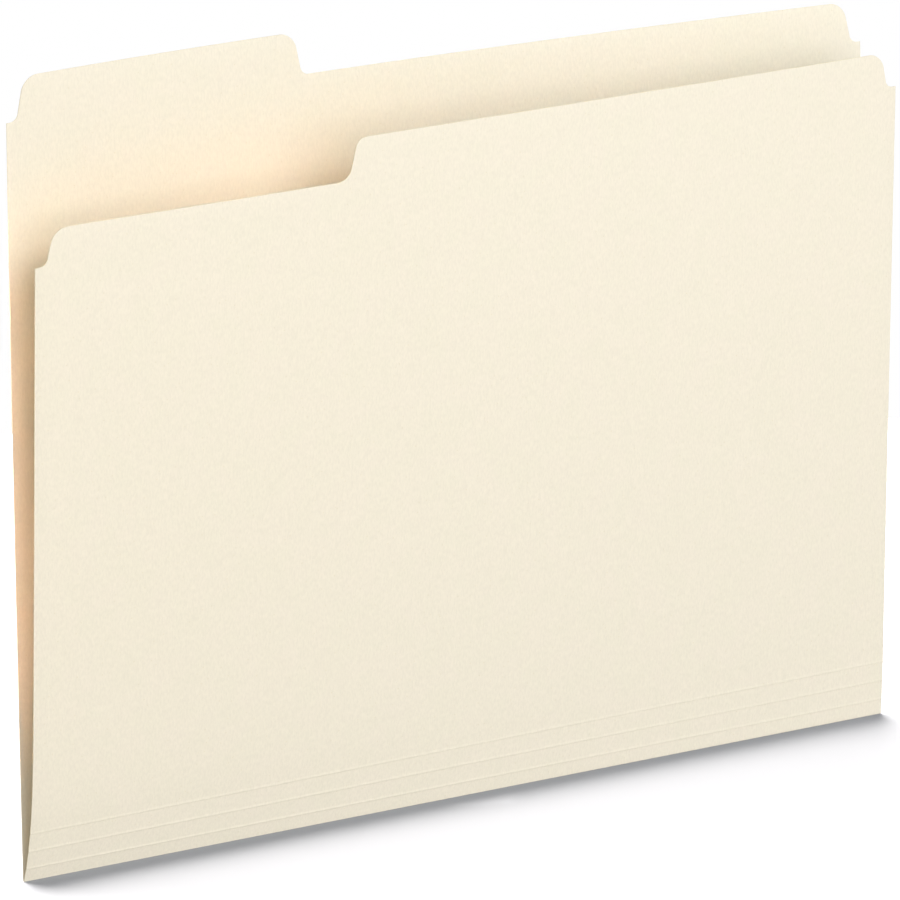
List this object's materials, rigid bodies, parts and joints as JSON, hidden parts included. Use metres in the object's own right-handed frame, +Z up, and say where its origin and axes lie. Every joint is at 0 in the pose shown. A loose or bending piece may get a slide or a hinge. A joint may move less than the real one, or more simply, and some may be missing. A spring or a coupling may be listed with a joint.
{
  "type": "file folder",
  "caption": "Letter-size card file folder: a folded and scored sheet with a round-cornered index tab at the left of its taller back panel.",
  "frame": {"origin": "under the middle of the main fold, at the height of the fold's lowest line", "axes": "+X along the fold to the right as the front is seen, +Y from the front panel to the back panel, +Z up to the tab"},
  "size_m": [0.2985, 0.0423, 0.2419],
  "materials": {
    "manila_card": "matte, faintly fibrous",
    "manila_crease": "matte, pressed"
  },
  "bodies": {
    "fold": {"main_fold": "manila_crease"},
    "back": {"back_panel": "manila_card"},
    "gusset": {"strip_1": "manila_card", "score_1": "manila_crease", "strip_2": "manila_card", "score_2": "manila_crease", "strip_3": "manila_card", "score_3": "manila_crease"},
    "front": {"front_panel": "manila_card"}
  },
  "joints": [
    {"name": "open", "type": "hinge", "parent": "fold", "child": "back", "pos_m": [0, 0.00028, 0.00058], "axis": [-1, 0, 0], "range_deg": [-5, 172]},
    {"name": "expand", "type": "hinge", "parent": "fold", "child": "gusset", "pos_m": [0, -0.00028, 0.00058], "axis": [1, 0, 0], "range_deg": [0, 66]},
    {"name": "bend_at_score_3", "type": "hinge", "parent": "gusset", "child": "front", "pos_m": [0, -0.00361, 0.0175], "axis": [0.9998, 0.0171, 0.0035], "range_deg": [-66.1, 0]}
  ],
  "couplings": [
    {"joint": "bend_at_score_3", "follows": "expand", "ratio": -1}
  ]
}
